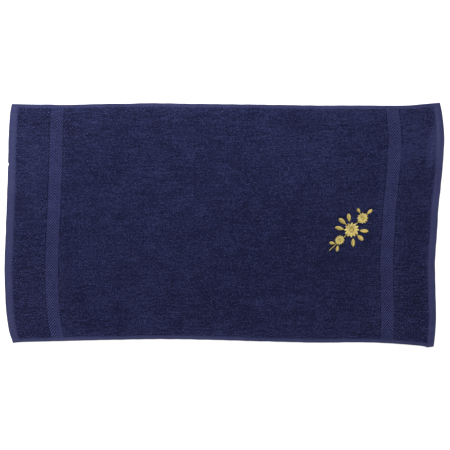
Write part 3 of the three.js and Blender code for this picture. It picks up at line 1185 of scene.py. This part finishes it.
def satin_tree():
    sizes = {"Geometry": "NodeSocketGeometry", "Thread radius": NUMBER, "Padding": NUMBER,
             "Height": NUMBER, "Points": COUNT, "Seed": COUNT}
    tree, given = geometry_tree("satin stitch", sizes)
    sockets = {"Mesh": given["Geometry"]}
    curves = tree.make("GeometryNodeMeshToCurve", None, sockets).outputs[0]
    sockets = {"Curve": curves, "Count": given["Points"]}
    curves = tree.make("GeometryNodeResampleCurve", None, sockets).outputs[0]
    curves = with_shade(tree, curves, "CURVE", given["Seed"])
    sockets = {"Geometry": curves, "Offset": xyz(tree, z=given["Height"])}
    raised = tree.make("GeometryNodeSetPosition", None, sockets).outputs[0]
    padded = arched(tree, raised, given["Padding"], SATIN_ROUNDNESS)
    return finish_tree(tree, yarn(tree, padded, given["Thread radius"]), given)


satin = satin_tree()


def stitched(name, threads, padding, material, seed):
    values = {**SATIN_THREAD, "Padding": padding, "Material": material, "Seed": seed}
    return laid_piece(grow(name, satin, values, thread_plan(name + " plan", threads)))


motif = [
    stitched("stitched_petals", flower_threads, PETAL_PADDING, gold_pale, 21),
    stitched("stitched_leaves", leaf_threads, LEAF_PADDING, gold_deep, 22),
]

# %% [markdown]
# The pile is tens of thousands of loops of soft yarn. A real towel has about six times as many,
# so each loop here is more than twice as wide, and the ground between them has its own fine bump.
# Woven rows of loops no longer show once a towel has been washed: the loops stand up in small
# clumps with dark pits between them. So random points no closer than 2.4 mm are scattered over
# the cloth, many in the clumps and fewer in the pits, which a noise lays out. The pile laps
# unevenly over the hems and selvedges. Each loop is an arc of only a few faces, with a random
# turn, lean and size. Loops in the clumps are painted paler than those in the pits, painted light
# and shade, and loops beside the flat cloth are painted paler still, painted light. The field is
# grown in five lengths to keep each piece small.

# %% The loops
LOOP_SPACING = 2.38 * MM
LOOP_RADIUS = 1.45 * MM
LOOP_YARN = 1.05 * MM
LOOP_BOTTOM = 1.6 * MM
LOOP_POINTS = 3
LOOP_LEAN = math.radians(22)
LOOP_SPREAD = 0.14
MOST_IN_A_SQUARE_METRE = 4e5
MOTIF_CLEARANCE = 1.3 * MM
# Clumps: their size, and the values of their noise at which a pit ends and a clump is full
CLUMP = 2.5 * MM
PIT_ENDS = 0.38
CLUMP_FULL = 0.6
# The share of points kept in a pit and the size of their loops, and how much more in a clump
KEPT = 0.6
KEPT_MORE = 0.35
PIT_SIZE = 0.87
CLUMP_LARGER = 0.25
# What makes up a loop's shade: painted light in its clump, painted light at the flat cloth beside
# it, and its own random tone
CLUMP_PAINTED_LIGHT = 0.3
EDGE_PAINTED_LIGHT = 0.4
OWN_LIGHT = 0.7
# The panels' edges: how far the painted light reaches in, how far the pile laps over the flat
# cloth, and how deep and how long the bays of its uneven edge are
PAINTED_LIGHT_REACH = 22 * MM
OVERLAP = 2.4 * MM
RIGHT_HEM_OVERLAP = 1.2 * MM
RAGGED = 5.0 * MM
WANDER = 14 * MM
# A noise hardly leaves this range
NOISE_LOW = 0.25
NOISE_HIGH = 0.75


def flat_motif():
    """The threads' plan as an object, for the loops to keep clear of."""
    plan = thread_plan("motif plan", np.vstack([flower_threads, leaf_threads]))
    carrier = bpy.data.objects.new("motif plan", plan)
    bpy.context.scene.collection.objects.link(carrier)
    return carrier


def from_edge(tree, given, x, y):
    """How far a point is from the nearest edge of its panel of pile."""
    gaps = [x - given["Panel from"], given["Panel to"] - x, y - given["Near"], given["Far"] - y]
    nearest = gaps[0]
    for gap in gaps[1:]:
        nearest = nearest.sum("MINIMUM", nearest, gap)
    return nearest


def pile_tree():
    names = ["From", "To", "Near", "Far", "Panel from", "Panel to", "Ragged", "Edge", "Spacing",
             "Loop radius", "Yarn radius", "Height", "Lean", "Clump", "Clearance"]
    sizes = {**dict.fromkeys(names, NUMBER), "Points": COUNT, "Seed": COUNT,
             "Kept clear": "NodeSocketObject"}
    tree, given = geometry_tree("pile", sizes)
    long, wide = given["To"] - given["From"], given["Far"] - given["Near"]
    sockets = {"Size X": long, "Size Y": wide, "Vertices X": 2, "Vertices Y": 2}
    area = tree.make("GeometryNodeMeshGrid", None, sockets).outputs[0]
    middle = xyz(tree, given["From"] + long / 2, given["Near"] + wide / 2, given["Height"])
    sockets = {"Geometry": area, "Translation": middle}
    area = tree.make("GeometryNodeTransform", None, sockets).outputs[0]
    position = tree.make("GeometryNodeInputPosition").outputs[0]
    sockets = {"Vector": position, "Scale": 1 / given["Clump"], "Detail": 1.0}
    clump = tree.wire("ShaderNodeTexNoise", None, sockets)
    clump = smooth_step(tree, clump, PIT_ENDS, CLUMP_FULL)
    poisson = {"distribute_method": "POISSON"}
    sockets = {"Mesh": area, "Distance Min": given["Spacing"],
               "Density Max": MOST_IN_A_SQUARE_METRE, "Seed": given["Seed"]}
    points = tree.make("GeometryNodeDistributePointsOnFaces", poisson, sockets).outputs[0]

    plan = tree.make("GeometryNodeObjectInfo", None, {"Object": given["Kept clear"]})
    x, y, _ = place_parts(tree)
    sockets = {0: plan.outputs["Geometry"], "Sample Position": xyz(tree, x, y)}
    nearest = tree.make("GeometryNodeProximity", {"target_element": "EDGES"}, sockets)
    distance = Wire(tree, nearest.outputs["Distance"])
    pressed = x.sum("LESS_THAN", distance, given["Clearance"])
    lot = random_number(tree, 0.0, 1.0, given["Seed"] + 4)
    left_out = x.sum("GREATER_THAN", lot, clump * KEPT_MORE + KEPT)
    edge = from_edge(tree, given, x, y)
    wander = tree.wire("ShaderNodeTexNoise", None, {"Vector": position, "Scale": 1 / WANDER})
    bay = (wander - NOISE_LOW) * given["Ragged"] / (NOISE_HIGH - NOISE_LOW)
    off_edge = x.sum("LESS_THAN", edge, bay)
    sockets = {"Geometry": points, "Selection": pressed + left_out + off_edge}
    points = tree.make("GeometryNodeDeleteGeometry", None, sockets).outputs[0]

    arc_sockets = {"Resolution": given["Points"], "Radius": given["Loop radius"],
                   "Start Angle": 0.0, "Sweep Angle": math.pi}
    arc = tree.make("GeometryNodeCurveArc", None, arc_sockets).outputs[0]
    upright = {"Geometry": arc, "Rotation": (math.radians(90), 0.0, 0.0)}
    arc = tree.make("GeometryNodeTransform", None, upright).outputs[0]
    loop = yarn(tree, arc, given["Yarn radius"])
    lean_a = random_number(tree, -1.0, 1.0, given["Seed"] + 1)
    lean_b = random_number(tree, -1.0, 1.0, given["Seed"] + 2)
    turn = random_number(tree, 0.0, math.tau, given["Seed"] + 3)
    rotation = xyz(tree, lean_a * given["Lean"], lean_b * given["Lean"], turn)
    size = clump * CLUMP_LARGER + PIT_SIZE
    placed = scattered(tree, points, loop, given, rotation, LOOP_SPREAD, size)
    x, y, _ = place_parts(tree)
    # Painted light: loops near a panel's edge are painted paler, and so are loops in the clumps
    painted_edge_light = 1 - smooth_step(tree, from_edge(tree, given, x, y), 0.0, given["Edge"])
    shade = clump * CLUMP_PAINTED_LIGHT + painted_edge_light * EDGE_PAINTED_LIGHT
    shaded = with_shade(tree, placed, "INSTANCE", given["Seed"], shade, OWN_LIGHT)
    return finish_tree(tree, shaded, given)


motif_plan = flat_motif()
pile = pile_tree()


def loops(name, start, end, panel, seed):
    """The loops from start to end, on a panel of pile that may be longer than that."""
    values = {"From": start, "To": end, "Panel from": panel[0], "Panel to": panel[1],
              "Near": NEAR_SELVEDGE - OVERLAP, "Far": CLOTH_WIDTH - FAR_SELVEDGE + OVERLAP,
              "Ragged": RAGGED, "Edge": PAINTED_LIGHT_REACH, "Spacing": LOOP_SPACING,
              "Loop radius": LOOP_RADIUS, "Yarn radius": LOOP_YARN, "Height": LOOP_BOTTOM,
              "Lean": LOOP_LEAN, "Clump": CLUMP, "Clearance": MOTIF_CLEARANCE,
              "Points": LOOP_POINTS, "Material": loop_yarn, "Kept clear": motif_plan,
              "Seed": seed}
    return laid_piece(grow(name, pile, values))


FIELD_PIECES = 5
left_end = (HEM - OVERLAP, LEFT_BORDER)
right_end = (CLOTH_LENGTH - RIGHT_BORDER, CLOTH_LENGTH - HEM + RIGHT_HEM_OVERLAP)
field = (LEFT_BORDER + BORDER, CLOTH_LENGTH - RIGHT_BORDER - BORDER)
cuts = np.linspace(*field, FIELD_PIECES + 1)
pile_pieces = [
    loops("loops_left_end", *left_end, left_end, 31),
    loops("loops_right_end", *right_end, right_end, 32),
]
for number, (start, end) in enumerate(zip(cuts, cuts[1:]), 1):
    pile_pieces.append(loops(f"loops_field_{number}", start, end, field, 40 + number))
bpy.data.objects.remove(motif_plan)

# %% [markdown]
# Every piece now rides on the towel's one body, and the sheet stands in for the solid towel. It
# was cut to 70 by 130 cm, which is what this size of towel is woven to, and all the rest lies
# on it.

# %% Tell the frame what each piece is
on_cloth = [*stitches, *floats, *motif, *pile_pieces]
for piece in [cloth, *on_cloth]:
    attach(piece, "root")
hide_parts("towel")
total = sum(triangles_of(piece.data) for piece in [cloth, *on_cloth])
print("triangles in all:", total)

# %% [markdown]
# The floor is plain and white, and so is the surrounding light. The floor also glows a little,
# so that it stays white from every side. One large soft lamp stands beyond the towel's far left
# corner, so that the loops, the ribs and the rolled hems get a light side and a dark side and
# the far left of the towel looks a little brighter than the near right.

# %% Floor and light
FLOOR_HALF = 30.0
FLOOR_TOP = -0.2 * MM
FLOOR_GREY = 0.25
FLOOR_GLOW = 0.76
LAMP_PLACE = (-0.95, 2.7, 1.4)
LAMP_WIDTH = 1.2
LAMP_POWER = 440
SURROUND = 1.1


def make_floor():
    mesh = bpy.data.meshes.new("floor")
    corners = [(-1, -1), (1, -1), (1, 1), (-1, 1)]
    points = [(x * FLOOR_HALF, y * FLOOR_HALF, FLOOR_TOP) for x, y in corners]
    mesh.from_pydata(points, [], [(0, 1, 2, 3)])
    floor = bpy.data.objects.new("floor", mesh)
    bpy.context.scene.collection.objects.link(floor)
    finish = {"Base_Color": (FLOOR_GREY, FLOOR_GREY, FLOOR_GREY, 1), "Roughness": 0.9,
              "Specular_IOR_Level": 0.1, "Emission_Color": (1, 1, 1, 1),
              "Emission_Strength": FLOOR_GLOW}
    material, _, _ = new_material("white floor", **finish)
    mesh.materials.append(material)


def make_lamp():
    """A round soft lamp that looks at the towel's middle."""
    light = bpy.data.lights.new("far left lamp", "AREA")
    light.shape = "DISK"
    light.size = LAMP_WIDTH
    light.energy = LAMP_POWER
    lamp = bpy.data.objects.new("far left lamp", light)
    lamp.location = LAMP_PLACE
    aim = -np.array(LAMP_PLACE)
    lamp.rotation_euler = (
        math.atan2(math.hypot(aim[0], aim[1]), -aim[2]), 0, math.atan2(-aim[0], aim[1])
    )
    bpy.context.scene.collection.objects.link(lamp)


def make_surround():
    world = bpy.data.worlds.new("studio")
    world.use_nodes = True
    surround = world.node_tree.nodes["Background"]
    surround.inputs["Color"].default_value = (1, 1, 1, 1)
    surround.inputs["Strength"].default_value = SURROUND
    bpy.context.scene.world = world


make_floor()
make_lamp()
make_surround()
bpy.context.scene.view_settings.view_transform = "Standard"
print("lamp, m:", LAMP_PLACE)

# %% [markdown]
# The photograph was taken from straight above. A long lens at three metres keeps the outline
# square, and the frame is 1.348 m wide, which is 3 mm for each of its 450 pixels.

# %% Camera
LENS = 80
SENSOR = 36
FRAME_WIDE = 1.348
IMAGE_MIDDLE = (1.9 * MM, -0.2 * MM)
FARTHEST = 20


def make_camera():
    camera = bpy.data.cameras.new("camera")
    camera.lens = LENS
    camera.sensor_width = SENSOR
    camera.clip_end = FARTHEST
    view = bpy.data.objects.new("camera", camera)
    view.location = (*IMAGE_MIDDLE, FRAME_WIDE * LENS / SENSOR)
    bpy.context.scene.collection.objects.link(view)
    bpy.context.scene.camera = view


make_camera()
print("camera height, m:", FRAME_WIDE * LENS / SENSOR)
